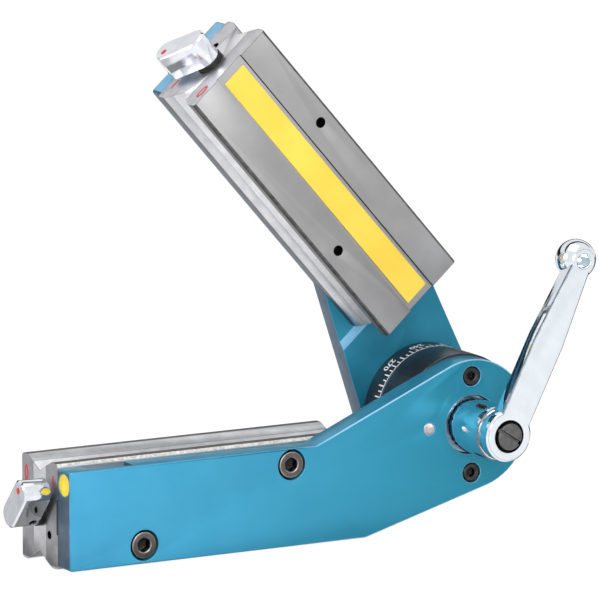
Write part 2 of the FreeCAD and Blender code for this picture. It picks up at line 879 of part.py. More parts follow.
def crank_screw():
    """Slotted cheese-head screw whose head stands a little proud of the hub."""
    top = crank_seat - slotted_head_height
    head = rod_y(m8_head_radius, top, crank_seat)
    head = chamfer_face_outline(head, top, edge_break)
    shank = rod_y(m8_radius, crank_seat, crank_seat + slotted_screw_bite)
    half = slotted_slot_width / 2
    slot = block(-boss_radius, boss_radius, top, top + slotted_slot_depth, -half, half)
    slot.rotate(ARM_PIVOT, AXIS_Y, -slotted_slot_angle)
    return head.fuse(shank).cut(slot).removeSplitter()


# Placing and writing


def place_lower(shape):
    placed = shape.copy()
    placed.translate(point(pivot_x, 0, pivot_z))
    return placed


def place_upper(shape):
    """Turns the arm over about X, shifts it back by the arm gap and opens it about the pivot."""
    placed = shape.copy()
    placed.rotate(ARM_PIVOT, AXIS_X, 180)
    placed.translate(point(0, arm_gap, 0))
    placed.rotate(ARM_PIVOT, AXIS_Y, opening_angle)
    placed.translate(point(pivot_x, 0, pivot_z))
    return placed


def magnet_bar_pieces(lever_angle):
    return {
        "plate_pole": plate_pole(),
        "free_pole": free_pole(),
        "core": core(),
        "tie_screws": tie_screws(),
        "rotor_magnet": rotor_magnet(),
        "rotor_shoes": rotor_shoes(),
        "drive_shaft": drive_shaft(),
        "tail_shaft": tail_shaft(),
        "rotor_bushes": rotor_bushes(),
        "stop_pin": stop_pin(),
        "shaft_seal": shaft_seal(),
        "switch_lever": switch_lever(lever_angle),
        "lever_set_screw": lever_set_screw(lever_angle),
    }


def all_pieces():
    lower_bar = magnet_bar_pieces(lower_lever_angle)
    upper_bar = magnet_bar_pieces(upper_lever_angle)
    front = {
        "front_plate": front_plate(),
        "front_marker_disc": front_marker_disc(),
        "index_ring": index_ring(),
        "index_ring_screws": ring_screws(front_plate_face, plate_inner_face, ring_screw_bite),
        "index_ring_dowels": ring_dowels(front_plate_face, plate_inner_face, index_dowel_bite),
        "pivot_bush": pivot_bush(),
        "thrust_washer": thrust_washer(),
        "lower_magnet_screws": bar_screws(front_plate_face, m8_head_height),
        "clamp_boss": clamp_boss(),
        "clamp_nut": clamp_nut(),
        "boss_set_screw": boss_set_screw(),
        "crank_lever": crank_lever(),
        "crank_screw": crank_screw(),
    }
    rear = {
        "rear_plate": rear_plate(),
        "dial_ring": dial_ring(),
        "dial_ring_screws": ring_screws(rear_plate_face, pad_face, dial_screw_bite),
        "dial_ring_dowels": ring_dowels(rear_plate_face, pad_face, dial_dowel_bite),
        "pivot_stud": pivot_stud(),
        "upper_magnet_screws": bar_screws(rear_plate_face, m8_low_head_height),
        "upper_marking_strip": marking_strip(),
    }
    placed = {name: place_lower(shape) for name, shape in front.items()}
    placed.update({name: place_upper(shape) for name, shape in rear.items()})
    placed.update({"lower_" + name: place_lower(shape) for name, shape in lower_bar.items()})
    placed.update({"upper_" + name: place_upper(shape) for name, shape in upper_bar.items()})
    return placed


def main():
    os.makedirs("parts", exist_ok=True)
    for name, shape in all_pieces().items():
        if not shape.isValid() or not shape.Solids:
            raise ValueError(name + " is not a valid solid")
        shape.exportStep(os.path.join("parts", name + ".step"))
        print(name, len(shape.Solids), round(shape.Volume, 1))


main()
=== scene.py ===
import json
import math

import bmesh
import bpy
import numpy as np
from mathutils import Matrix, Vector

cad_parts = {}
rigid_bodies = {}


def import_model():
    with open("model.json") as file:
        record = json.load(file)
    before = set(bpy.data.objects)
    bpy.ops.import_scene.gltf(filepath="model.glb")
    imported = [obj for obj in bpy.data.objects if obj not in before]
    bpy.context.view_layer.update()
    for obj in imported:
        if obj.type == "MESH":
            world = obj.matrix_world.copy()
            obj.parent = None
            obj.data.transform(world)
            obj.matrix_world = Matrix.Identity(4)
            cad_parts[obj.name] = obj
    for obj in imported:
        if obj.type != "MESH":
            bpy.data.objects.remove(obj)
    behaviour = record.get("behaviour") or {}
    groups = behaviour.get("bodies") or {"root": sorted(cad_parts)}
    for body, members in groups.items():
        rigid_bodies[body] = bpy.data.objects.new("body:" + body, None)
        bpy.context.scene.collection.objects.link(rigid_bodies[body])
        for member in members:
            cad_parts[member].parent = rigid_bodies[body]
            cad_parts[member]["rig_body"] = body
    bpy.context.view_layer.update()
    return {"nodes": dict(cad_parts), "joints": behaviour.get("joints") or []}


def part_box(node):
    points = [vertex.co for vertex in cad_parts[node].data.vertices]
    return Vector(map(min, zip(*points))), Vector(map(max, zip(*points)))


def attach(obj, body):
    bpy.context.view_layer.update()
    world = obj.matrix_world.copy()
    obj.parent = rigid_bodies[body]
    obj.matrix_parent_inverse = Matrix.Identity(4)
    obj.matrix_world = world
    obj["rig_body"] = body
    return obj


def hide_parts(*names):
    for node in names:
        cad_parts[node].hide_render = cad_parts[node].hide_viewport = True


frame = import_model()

# Adjustable welding magnet: two arms that carry a switchable magnet bar each, hinged on a pivot that
# a crank lever clamps, with a graduated drum between them.

# The photograph was taken from a few metres away, from the left of the clamp lever and a little
# above. The camera stands far off on the same line, so that parallel edges stay almost parallel.

camera_yaw = math.radians(-29.63)
camera_pitch = math.radians(10.09)
camera_distance = 3.5
camera_lens = 437.6
camera_aim = np.array([0.05981, -0.00305, 0.11483])

camera_back = np.array([
    math.sin(camera_yaw) * math.cos(camera_pitch),
    -math.cos(camera_yaw) * math.cos(camera_pitch),
    math.sin(camera_pitch),
])
camera = bpy.data.objects.new("camera", bpy.data.cameras.new("camera"))
camera.data.lens = camera_lens
camera.data.sensor_width = 36
camera.data.clip_start = 0.1
camera.data.clip_end = 50
camera.location = camera_aim + camera_back * camera_distance
camera.rotation_euler = (math.pi / 2 - camera_pitch, 0, camera_yaw)
bpy.context.scene.collection.objects.link(camera)
bpy.context.scene.camera = camera
bpy.context.scene.view_settings.view_transform = "Standard"

# The light is a white room with three soft lamps: one in front, one beyond the far end of the bars,
# which makes the blue paler there, and one overhead.


def linear(code):
    """sRGB hex to linear: c / 12.92 where c is at most 0.04045, otherwise ((c + 0.055) / 1.055) ^ 2.4."""
    c = np.array([int(code[i:i + 2], 16) for i in (1, 3, 5)]) / 255
    return (*np.where(c <= 0.04045, c / 12.92, ((c + 0.055) / 1.055) ** 2.4), 1.0)


def add(owner, kind, inputs, **settings):
    """Adds a shader node with its settings. Each input takes a value, or the output it is linked to."""
    node = owner.node_tree.nodes.new("ShaderNode" + kind)
    for name, value in settings.items():
        setattr(node, name, value)
    for name, value in inputs.items():
        if isinstance(value, bpy.types.NodeSocket):
            owner.node_tree.links.new(value, node.inputs[name])
        else:
            node.inputs[name].default_value = value
    return node


def seen_rays(owner):
    """1 for camera, glossy and transmission rays, which see the white room, and 0 for the rest."""
    path = add(owner, "LightPath", {}).outputs
    either = add(owner, "Math", {0: path["Is Camera Ray"], 1: path["Is Glossy Ray"]}, operation="MAXIMUM")
    both = {0: either.outputs[0], 1: path["Is Transmission Ray"]}
    return add(owner, "Math", both, operation="MAXIMUM").outputs[0]


def lamp(name, place, aim, size, power):
    """Square soft lamp at a place, facing the point aim, in metres and watts."""
    data = bpy.data.lights.new(name, "AREA")
    data.shape = "SQUARE"
    data.size = size
    data.energy = power
    made = bpy.data.objects.new(name, data)
    made.location = place
    direction = np.array(place, float) - np.array(aim, float)
    flat = math.hypot(direction[0], direction[1])
    made.rotation_euler = (math.atan2(flat, direction[2]), 0, math.atan2(direction[0], -direction[1]))
    bpy.context.scene.collection.objects.link(made)


ambient_level = 0.5
world = bpy.data.worlds.new("white_room")
world.use_nodes = True
world.node_tree.nodes.clear()
dim = add(world, "Background", {"Color": (1, 1, 1, 1), "Strength": ambient_level})
white = add(world, "Background", {"Color": (1, 1, 1, 1), "Strength": 1.0})
mixed = add(world, "MixShader", {0: seen_rays(world), 1: dim.outputs[0], 2: white.outputs[0]})
add(world, "OutputWorld", {"Surface": mixed.outputs[0]})
bpy.context.scene.world = world

lamp("key_lamp", (-0.14, -0.62, 0.30), (-0.04, 0.0, 0.04), 0.4, 2.6)
lamp("left_lamp", (-0.85, 0.05, 0.45), (-0.08, 0.0, 0.04), 0.4, 2.2)
lamp("top_lamp", (-0.1, -0.1, 1.1), (0.05, 0.0, 0.1), 0.8, 2.5)


def stage_sheet(name, low, high):
    """Flat stage piece between two opposite corners, which share their y or their z, with a material
    that has no nodes yet."""
    corners = [low, (high[0], low[1], low[2]), high, (low[0], high[1], high[2])]
    mesh = bpy.data.meshes.new(name)
    mesh.from_pydata(np.array(corners, float), [], [(0, 1, 2, 3)])
    made = bpy.data.objects.new(name, mesh)
    bpy.context.scene.collection.objects.link(made)
    material = bpy.data.materials.new(name + "_finish")
    material.use_nodes = True
    material.node_tree.nodes.clear()
    mesh.materials.append(material)
    return made


# Grey and dark cards stand where the camera doesn't see them, so that polished faces mirror more than
# the white room: two far behind, three lying on the floor and one overhead. The one lying under the
# bars is a painted shadow: its grey darkens what their undersides mirror.
cards = (
    ("dark_card", 0.02, (-1.7, 1.5, 0.17), (2.5, 1.5, 0.75)),
    ("grey_card", 0.92, (-1.7, 1.5, 0.75), (0.7, 1.5, 1.9)),
    ("low_card", 0.66, (-1.5, 0.03, 0.001), (-0.1, 1.3, 0.001)),
    ("middle_card", 0.3, (-0.1, -0.05, 0.001), (0.27, 0.05, 0.001)),
    ("right_card", 0.08, (0.27, 0.05, 0.001), (2.0, 1.4, 0.001)),
    ("high_card", 0.05, (-1.5, 0.42, 1.25), (2.5, 0.78, 1.25)),
)
for card_name, level, card_low, card_high in cards:
    card = stage_sheet(card_name, card_low, card_high)
    card_paint = card.data.materials[0]
    shine = add(card_paint, "Emission", {"Color": (level, level, level, 1), "Strength": 1.0})
    add(card_paint, "OutputMaterial", {"Surface": shine.outputs[0]})
    card.visible_camera = False
    card.visible_diffuse = False
    card.visible_shadow = False

# The floor is thin white paper. It takes the shadow, and is otherwise as white as the room, which
# shows through it, as does an arm that is swung below it.
floor_half = 4.0
floor_drop = 0.0002
clear_share = 0.85
paper_white = (0.9, 0.9, 0.9, 1)
paper_glow = 0.13
floor = stage_sheet("floor", (-floor_half, -floor_half, -floor_drop), (floor_half, floor_half, -floor_drop))
floor_paper = floor.data.materials[0]
paper = add(floor_paper, "BsdfDiffuse", {"Color": paper_white})
clear = add(floor_paper, "BsdfTransparent", {"Color": (1, 1, 1, 1)})
glow = add(floor_paper, "Emission", {"Color": (1, 1, 1, 1), "Strength": paper_glow})
veil = add(floor_paper, "AddShader", {0: clear.outputs[0], 1: glow.outputs[0]})
part_seen = add(floor_paper, "Math", {0: seen_rays(floor_paper), 1: clear_share}, operation="MULTIPLY")
lit = add(floor_paper, "MixShader", {0: part_seen.outputs[0], 1: paper.outputs[0], 2: veil.outputs[0]})
add(floor_paper, "OutputMaterial", {"Surface": lit.outputs[0]})

# Front arm plate: 12 mm aluminium plate, sawn and milled to its dog-leg outline, drilled,
# counterbored and blue anodised. Handling has worn the dye off its broken edges, whose pale
# colour is partly a painted highlight.

joints = {joint["name"]: joint for joint in frame["joints"]}
pivot = np.array(joints["arm_swing"]["pos_m"])


def finish(name, pale, deep, metallic, roughness, cloud, grain, depth, turn=0.0, sockets=None, fade=None):
    """A worked surface. The colour runs from deep to pale by a soft cloud of the size cloud, in mm.
    Tool lines, whose spacing along X, Y and Z is grain in mm, raise the surface by depth in mm and
    vary its roughness. turn is the angle about Y of the arm that the lines follow. fade is a second
    colour, and the two places along X, in metres, between which the surface turns to it."""
    cloud_from, cloud_to = 0.32, 0.68
    gloss_change = 0.15
    material = bpy.data.materials.new(name)
    material.use_nodes = True
    shader = material.node_tree.nodes["Principled BSDF"]
    shader.inputs["Metallic"].default_value = metallic
    for socket, value in (sockets or {}).items():
        shader.inputs[socket].default_value = value
    place = add(material, "TexCoord", {}).outputs["Object"]

    def noise(size, detail):
        spacing = [s / 1000 for s in size]
        turned = {"Vector": place, "Rotation": (0, turn, 0), "Scale": spacing}
        scaled = add(material, "Mapping", turned, vector_type="TEXTURE").outputs[0]
        return add(material, "TexNoise", {"Vector": scaled, "Scale": 1.0, "Detail": detail}).outputs[0]

    clouds = noise((cloud, cloud, cloud), 4.0)
    lines = noise(grain, 2.0)
    ramp = add(material, "ValToRGB", {"Fac": clouds})
    ramp.color_ramp.elements[0].position = cloud_from
    ramp.color_ramp.elements[1].position = cloud_to
    ramp.color_ramp.elements[0].color = linear(deep)
    ramp.color_ramp.elements[1].color = linear(pale)
    colour = ramp.outputs[0]
    if fade:
        along = add(material, "SeparateXYZ", {"Vector": place}).outputs["X"]
        span = {"Value": along, "From Min": fade[1], "From Max": fade[2]}
        share = add(material, "MapRange", span).outputs[0]
        colour = add(material, "MixRGB", {0: share, 1: colour, 2: linear(fade[0])}).outputs[0]
    spread = {
        "Value": lines,
        "To Min": roughness * (1 - gloss_change),
        "To Max": roughness * (1 + gloss_change),
    }
    gloss = add(material, "MapRange", spread).outputs[0]
    bump = add(material, "Bump", {"Height": lines, "Distance": depth / 1000, "Strength": 1.0})
    links = material.node_tree.links
    links.new(colour, shader.inputs["Base Color"])
    links.new(gloss, shader.inputs["Roughness"])
    links.new(bump.outputs[0], shader.inputs["Normal"])
    return material


def shown(name, mesh, node_names, materials):
    """Links a mesh as a piece that stands for CAD nodes: it rides on their body, and they are hidden."""
    for material in materials:
        mesh.materials.append(material)
    made = bpy.data.objects.new(name, mesh)
    bpy.context.scene.collection.objects.link(made)
    first = frame["nodes"][node_names[0]]
    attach(made, first["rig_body"])
    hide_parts(*node_names)
    return made


# A face is square to Y if its normal's share along Y is above the first of these, and slants if it
# is above the second.
square_share = 0.95
slant_share = 0.3


def bench_finished(node, edge, finishes, facings=None, picks=()):
    """A CAD node's copy with its corners broken: doubled corners merged, flat triangles joined, and
    each sharp edge rounded to the width edge, in mm, in the last finish. facings gives the finish of
    the faces square to Y, slanting and along Y. picks lists rules, each with a finish: a rule takes
    the faces' centres from the pivot, in mm, their normals and their areas, in mm2."""
    merge_distance = 1e-6
    flat_angle = math.radians(0.5)
    sharp_angle = math.radians(30)
    work = bmesh.new()
    work.from_mesh(frame["nodes"][node].data)
    bmesh.ops.remove_doubles(work, verts=work.verts, dist=merge_distance)
    bmesh.ops.dissolve_limit(work, angle_limit=flat_angle, verts=work.verts, edges=work.edges)
    mesh = bpy.data.meshes.new(node + "_finished")
    work.to_mesh(mesh)
    work.free()
    count = len(mesh.polygons)
    mesh.polygons.foreach_set("use_smooth", np.ones(count, bool))
    if facings:
        measured = {}
        for attribute, width in (("normal", 3), ("center", 3), ("area", 1)):
            measured[attribute] = np.empty(count * width, np.float32)
            mesh.polygons.foreach_get(attribute, measured[attribute])
        normals = measured["normal"].reshape(-1, 3)
        centres = (measured["center"].reshape(-1, 3) - pivot) * 1000
        areas = measured["area"] * 1e6
        square, slanting, along = facings
        facing = np.abs(normals[:, 1])
        chosen = np.select([facing > square_share, facing > slant_share], [square, slanting], along)
        for rule, choice in picks:
            chosen[rule(centres, normals, areas)] = choice
        mesh.polygons.foreach_set("material_index", chosen.astype(np.int32))
    made = shown(node + "_finished", mesh, [node], finishes)
    broken = made.modifiers.new("broken_edges", "BEVEL")
    broken.width = edge / 1000
    broken.segments = 3
    broken.limit_method = "ANGLE"
    broken.angle_limit = sharp_angle
    broken.material = len(finishes) - 1
    broken.harden_normals = True
    return made


def facing_to(direction):
    """Rule that picks the faces whose normals lie within about 20 degrees of a direction."""
    least_share = 0.94
    return lambda centres, normals, areas: normals @ np.array(direction) > least_share


# Anodised aluminium is a dyed oxide on bright metal, satin and a little cloudy. Towards the pivot the
# colour turns darker, which is painted shade. Rolling lines run along it, drawn at 0.6 mm so that they
# show.
dye_sockets = {"Specular IOR Level": 0.2}
front_anodised = finish(
    "front_blue_anodised",
    "#4BA9D0",
    "#44A0C8",
    0.3,
    0.36,
    22.0,
    (30.0, 0.6, 0.6),
    0.004,
    sockets=dye_sockets,
    fade=("#2A87A2", -0.09, 0.13),
)
# The milled outline took the dye a little deeper. Cutter marks run across it.
milled_blue = finish(
    "milled_blue_edge",
    "#3F95B5",
    "#3588A8",
    0.35,
    0.3,
    12.0,
    (0.7, 8.0, 0.7),
    0.004,
    sockets=dye_sockets,
)
# The sawn ends took the dye greyly.
sawn_blue = finish(
    "sawn_blue_end",
    "#5C6D80",
    "#4F6073",
    0.4,
    0.4,
    8.0,
    (0.7, 0.7, 8.0),
    0.006,
    sockets=dye_sockets,
)
# Where the oxide is worn thin on an edge, pale metal shows through the blue, and the pale edges are
# also a painted highlight where the broken corners catch the light. They are palest on the slope and
# round the pivot, where the hand holds it.
worn_highlit_blue = finish(
    "worn_blue_edge",
    "#4FA3C6",
    "#3F93B7",
    0.5,
    0.3,
    6.0,
    (3.0, 3.0, 3.0),
    0.002,
    fade=("#90C6E2", 0.04, 0.07),
)

plate_edge = 0.25
toward_far_end = (-1.0, 0.0, 0.0)
plate_finishes = [front_anodised, milled_blue, sawn_blue, worn_highlit_blue]
bench_finished("front_plate", plate_edge, plate_finishes, (0, 3, 1), [(facing_to(toward_far_end), 2)])

# Index ring, dial ring and their fasteners: turned aluminium, black anodised, with the scale
# engraved on the dial's rim and filled with white paint. Dowels and screws fix them to the plates.

rear_axis = joints["upper_switch_turn"]["axis"]
opening = math.atan2(rear_axis[2], -rear_axis[0])
arm_gap = joints["upper_switch_turn"]["pos_m"][1] * 1000


def placed(points, arm="front"):
    """Arm frame to the part's frame. In the arm frame, in mm, the pivot's axis is Y through the
    origin, the arm runs along -X and the bar's inner working face is Z = 0. The rear arm is the same
    unit with y and z reversed, the gap between the arms added to y, and a turn of the opening angle
    about Y. Then millimetres become metres and the pivot's place is added."""
    x, y, z = np.moveaxis(np.asarray(points, float), -1, 0)
    if arm == "rear":
        y = arm_gap - y
        z = -z
        x, z = x * math.cos(opening) + z * math.sin(opening), z * math.cos(opening) - x * math.sin(opening)
    return np.stack([x, y, z], axis=-1) / 1000 + pivot


def limits(node):
    """Lowest and highest corner of a front arm's node, in the arm's frame."""
    low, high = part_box(node)
    return (np.array(low) - pivot) * 1000, (np.array(high) - pivot) * 1000


# Black dye leaves a dark satin surface with fine turning marks about 0.5 mm apart.
drum_black = finish("black_anodised_drum", "#33373F", "#252930", 0.3, 0.34, 9.0, (6.0, 0.5, 6.0), 0.003)
# Bare grey aluminium shows where the rims are worn. The pale rims are also a painted highlight along the
# broken edges.
drum_rim_highlit = finish("worn_black_edge_highlit", "#6C7076", "#4A4D54", 0.8, 0.35, 4.0, (2.0, 2.0, 2.0), 0.002)
for ring in ("index_ring", "dial_ring"):
    bench_finished(ring, 0.2, [drum_black, drum_rim_highlit])

# Engraving paint is flat and white, with a little dirt.
white_fill = finish("white_engraving_fill", "#FFFFFF", "#F0F1EE", 0.0, 0.6, 2.0, (0.6, 0.6, 0.6), 0.002)

dial_start = limits("dial_ring")[0][1]
index_low, index_high = limits("index_ring")
drum_radius = index_high[0]
fill_height = 0.04
fill_depth = 0.3
weld_distance = 1e-7
reading_at_rear_arm = 270.0


def rim_block(angles, half_width, y_from, y_to):
    """Thin raised blocks on the drum: corners at angle plus or minus half the width over the radius,
    at two heights along the axis and at two radii; the angles are in degrees, seen from the front."""
    turn = np.radians(np.asarray(angles, float))
    side = np.array([-1, 1, 1, -1]) * half_width / drum_radius
    along = np.stack([y_from, y_from, y_to, y_to], axis=-1)
    theta = turn[:, None] + side
    layers = []
    for radius in (drum_radius - fill_depth, drum_radius + fill_height):
        layers.append(np.stack([radius * np.cos(theta), along, radius * np.sin(theta)], axis=-1))
    points = np.concatenate(layers, axis=1)
    sides = [(0, 3, 2, 1), (4, 5, 6, 7), (0, 1, 5, 4), (1, 2, 6, 5), (2, 3, 7, 6), (3, 0, 4, 7)]
    faces = np.array(sides)[None] + 8 * np.arange(len(turn))[:, None, None]
    return points.reshape(-1, 3), faces.reshape(-1, 4)


def skin(rings):
    """Quads between neighbouring rings, each of which closes on itself."""
    count, around = rings.shape[:2]
    first = np.arange(count - 1)[:, None] * around
    here = first + np.arange(around)[None]
    ahead = first + (np.arange(around)[None] + 1) % around
    faces = np.stack([here, ahead, ahead + around, here + around], axis=-1)
    return rings.reshape(-1, 3), faces.reshape(-1, 4)


def new_mesh(name, points, faces, finish_numbers=None):
    """Mesh from points in metres, with a finish for each face if there are several; doubled points
    are merged, and the faces are turned outwards."""
    mesh = bpy.data.meshes.new(name)
    mesh.from_pydata(points, [], faces)
    if finish_numbers is not None:
        mesh.polygons.foreach_set("material_index", finish_numbers.astype(np.int32))
    work = bmesh.new()
    work.from_mesh(mesh)
    bmesh.ops.remove_doubles(work, verts=work.verts, dist=weld_distance)
    bmesh.ops.recalc_face_normals(work, faces=work.faces)
    work.to_mesh(mesh)
    work.free()
    return mesh


def trim(name, mesh, body, material):
    """A small piece that stands for no CAD node."""
    mesh.materials.append(material)
    made = bpy.data.objects.new(name, mesh)
    bpy.context.scene.collection.objects.link(made)
    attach(made, body)
    return made


def dial_angle(degrees):
    """Where a reading stands on the rim, in degrees from +X: 270 lies along the rear arm."""
    return 180.0 - math.degrees(opening) + np.asarray(degrees, float) - reading_at_rear_arm


# Marks each 5 degrees, and longer ones each 10.
readings = np.arange(0, 360, 5)
tick_margin = 0.5
tick_start = dial_start + tick_margin
tick_long = 4.6
tick_short = 3.0
tick_half = 0.34
tick_starts = np.full(len(readings), tick_start)
tick_ends = tick_start + np.where(readings % 10 == 0, tick_long, tick_short)
tick_points, tick_faces = rim_block(dial_angle(readings), tick_half, tick_starts, tick_ends)
tick_mesh = new_mesh("dial_ticks", placed(tick_points), tick_faces)
trim("dial_ticks", tick_mesh, "rear_arm", white_fill)

# Numbers each 30 degrees, to 270, bent round the rim. The strokes are a little wider than the font's,
# and the points that their faces share with their sides are merged.
digit_height = 3.6
font_share = 1.4
stroke_gain = 0.12
stroke_lift = 0.1
digit_gap = 0.7
digit_middle = tick_start + tick_long + digit_gap + digit_height / 2
number_meshes = []
for reading in range(0, 271, 30):
    text = bpy.data.curves.new("number", "FONT")
    text.body = str(reading)
    text.align_x = "CENTER"
    text.align_y = "CENTER"
    text.size = digit_height * font_share
    text.extrude = stroke_lift
    text.offset = stroke_gain
    holder = bpy.data.objects.new("number", text)
    bpy.context.scene.collection.objects.link(holder)
    bpy.context.view_layer.update()
    flat = bpy.data.meshes.new_from_object(holder.evaluated_get(bpy.context.evaluated_depsgraph_get()))
    bpy.data.objects.remove(holder)
    corners = np.empty(len(flat.vertices) * 3, np.float32)
    flat.vertices.foreach_get("co", corners)
    across, up, lift = corners.reshape(-1, 3).T
    theta = math.radians(float(dial_angle(reading))) + across / drum_radius
    radius = drum_radius + np.where(lift > 0, fill_height, -fill_depth)
    bent = np.stack([radius * np.cos(theta), digit_middle - up, radius * np.sin(theta)], axis=-1)
    flat.vertices.foreach_set("co", placed(bent).astype(np.float32).ravel())
    number_meshes.append(flat)
joined = bmesh.new()
for flat in number_meshes:
    joined.from_mesh(flat)
bmesh.ops.remove_doubles(joined, verts=joined.verts, dist=weld_distance)
bmesh.ops.recalc_face_normals(joined, faces=joined.faces)
number_mesh = bpy.data.meshes.new("dial_numbers")
joined.to_mesh(number_mesh)
joined.free()
trim("dial_numbers", number_mesh, "rear_arm", white_fill)

# A fine line runs round the drum at the foot of the marks: a ring of oblong section.
line_width = 0.32
line_angles = np.radians(np.arange(0, 360, 2) + 1)
line_inside, line_outside = drum_radius - fill_depth, drum_radius + fill_height
line_foot, line_head = tick_start, tick_start + line_width
line_section = (
    (line_inside, line_foot),
    (line_outside, line_foot),
    (line_outside, line_head),
    (line_inside, line_head),
    (line_inside, line_foot),
)
line_rings = np.array([
    np.stack([r * np.cos(line_angles), np.full(len(line_angles), y), r * np.sin(line_angles)], axis=-1)
    for r, y in line_section
])
line_points, line_faces = skin(line_rings)
line_mesh = new_mesh("dial_line", placed(line_points), line_faces)
trim("dial_line", line_mesh, "rear_arm", white_fill)

# The index line stands at the top of the front arm's ring.
index_angle = -90.0
index_half = 0.35
index_foot = 8
index_margin = 0.5
index_starts = np.array([index_low[1] + index_foot])
index_ends = np.array([index_high[1] - index_margin])
index_points, index_faces = rim_block([index_angle], index_half, index_starts, index_ends)
index_mesh = new_mesh("index_line", placed(index_points), index_faces)
trim("index_line", index_mesh, "front_arm", white_fill)

# Ground dowel steel, slightly tarnished.
dowel_steel = finish("ground_dowel_steel", "#D8CFCE", "#A89C9A", 1.0, 0.32, 2.5, (0.5, 0.5, 0.5), 0.01)
for dowels in ("index_ring_dowels", "dial_ring_dowels"):
    bench_finished(dowels, 0.4, [dowel_steel])

# Socket cap screws hold the rings and the bars. They are forged alloy steel with a black oxide finish,
# worn grey on the head's flat top. Their rounded rim and the socket's countersink are paler: wrench
# wear, and a painted highlight where those curves catch the light.

black_oxide = finish("black_oxide", "#2B2928", "#1A1918", 0.7, 0.28, 3.0, (1.0, 1.0, 1.0), 0.008)
worn_oxide = finish("worn_oxide_rim", "#69635F", "#554F4D", 0.9, 0.4, 2.0, (0.6, 0.6, 0.6), 0.012)
# The rim's paler finish is wrench wear and a painted highlight.
highlit_rubbed_steel = finish("rim_wear_and_highlight", "#A09C98", "#827E7A", 0.9, 0.4, 2.0, (0.6, 0.6, 0.6), 0.008)
black_rim = finish("oxide_rim", "#4A4644", "#33302F", 0.8, 0.4, 2.0, (0.6, 0.6, 0.6), 0.012)
screw_facets = 96


def socket_screw(radius, head_radius, head_height, socket, head_top, tip, x, z):
    """Cap screw as rings about an axis along Y: tip, shank, head with a rounded rim, countersunk
    hexagon socket and its drill point. A hexagon's radius at an angle is half its width across the
    flats over the cosine of the angle from the nearest flat's middle."""
    theta = np.arange(screw_facets) * 2 * math.pi / screw_facets
    flat_turn = np.mod(theta + math.pi / 6, math.pi / 3) - math.pi / 6
    hexagon = socket / 2 / np.cos(flat_turn)
    corner = socket / 2 / math.cos(math.pi / 6)
    tip_chamfer = radius * 0.15
    rim = head_radius * 0.1
    bend = np.radians([0, 30, 60, 90])
    sink = 0.45
    lip_width, lip_depth = 0.05, 0.3
    socket_floor = head_top + head_height * 0.55
    drill_point = head_top + head_height * 0.68
    rings = [
        (0.0, tip),
        (radius - tip_chamfer, tip),
        (radius, tip - tip_chamfer),
        (radius, head_top + head_height),
        (head_radius, head_top + head_height),
    ]
    rings += [(head_radius - rim + rim * math.cos(b), head_top + rim * (1 - math.sin(b))) for b in bend]
    rings += [
        (corner + sink, head_top),
        (corner + lip_width, head_top + lip_depth),
        (hexagon, head_top + sink),
        (hexagon, socket_floor),
        (0.0, drill_point),
    ]
    level = np.ones(screw_facets)
    return np.array([
        np.stack([x + reach * np.cos(theta), y * level, z + reach * np.sin(theta)], axis=-1)
        for reach, y in rings
    ])


# Counted from the tip, the faces between two rings of a screw that are its flat top, and its rounded
# rim and the socket's countersink.
flat_band = 8
highlight_bands = (6, 7, 9)


def screw_group(node, arm, places, sizes, head_top, tip, flat_finish, highlight_finish):
    """The screws of one node as one piece. The flat top of a head has one finish, and its rounded rim
    and the socket's countersink, where wrenches rub and a painted highlight lies, have another."""
    sharp_angle = math.radians(35)
    points, faces, numbers = [], [], []
    for x, z in places:
        ring_points, ring_faces = skin(socket_screw(*sizes, head_top, tip, x, z))
        faces.append(ring_faces + sum(len(p) for p in points))
        points.append(ring_points)
        band = np.arange(len(ring_faces)) // screw_facets
        numbers.append(np.select([band == flat_band, np.isin(band, highlight_bands)], [1, 2], 0))
    placed_points = placed(np.concatenate(points), arm)
    mesh = new_mesh(node + "_finished", placed_points, np.concatenate(faces), np.concatenate(numbers))
    mesh.polygons.foreach_set("use_smooth", np.ones(len(mesh.polygons), bool))
    mesh.set_sharp_from_angle(angle=sharp_angle)
    shown(node + "_finished", mesh, [node], [black_oxide, flat_finish, highlight_finish])


# Shank radius, head radius, head height and width of the socket across its flats.
m5 = (2.5, 4.25, 5.0, 4.0)
m8 = (4.0, 6.5, 8.0, 6.0)

low, high = limits("index_ring_screws")
ring_fixing = high[2] - m5[1]
ring_places = [(0.0, ring_fixing), (0.0, -ring_fixing)]
screw_group("index_ring_screws", "front", ring_places, m5, low[1], high[1], black_rim, black_rim)
bench_finished("dial_ring_screws", 0.3, [black_oxide])

low, high = limits("lower_magnet_screws")
bar_places = [(low[0] + m8[1], low[2] + m8[1]), (high[0] - m8[1], high[2] - m8[1])]
screw_group("lower_magnet_screws", "front", bar_places, m8, low[1], high[1], worn_oxide, highlit_rubbed_steel)
bench_finished("upper_magnet_screws", 0.4, [black_oxide, worn_oxide])

# Pivot: the bronze bush and the washer in the plate's counterbore are turned, and the steel stud is
# turned and milled, and keyed in the rear plate.

# Turned bronze is warm and satin, and turned steel a plain grey.
turned_bronze = finish("turned_bronze", "#C9A086", "#A87F66", 1.0, 0.3, 4.0, (0.5, 0.5, 0.5), 0.006)
machined_steel = finish("machined_steel", "#A9AAAD", "#8D8E92", 1.0, 0.34, 5.0, (0.6, 0.6, 0.6), 0.006)
# The washer's face shines grey. Its rim is painted dark: painted shade of the gap where it meets the plate.
washer_face = finish("turned_washer_face", "#8FA3AE", "#74858F", 1.0, 0.25, 4.0, (0.5, 0.5, 0.5), 0.004)
washer_rim_shade = finish("washer_rim_painted_shade", "#26262A", "#161618", 0.7, 0.4, 4.0, (0.5, 0.5, 0.5), 0.006)
bench_finished("thrust_washer", 0.5, [washer_face, washer_rim_shade])
bench_finished("pivot_bush", 0.15, [turned_bronze])
bench_finished("pivot_stud", 0.4, [machined_steel])

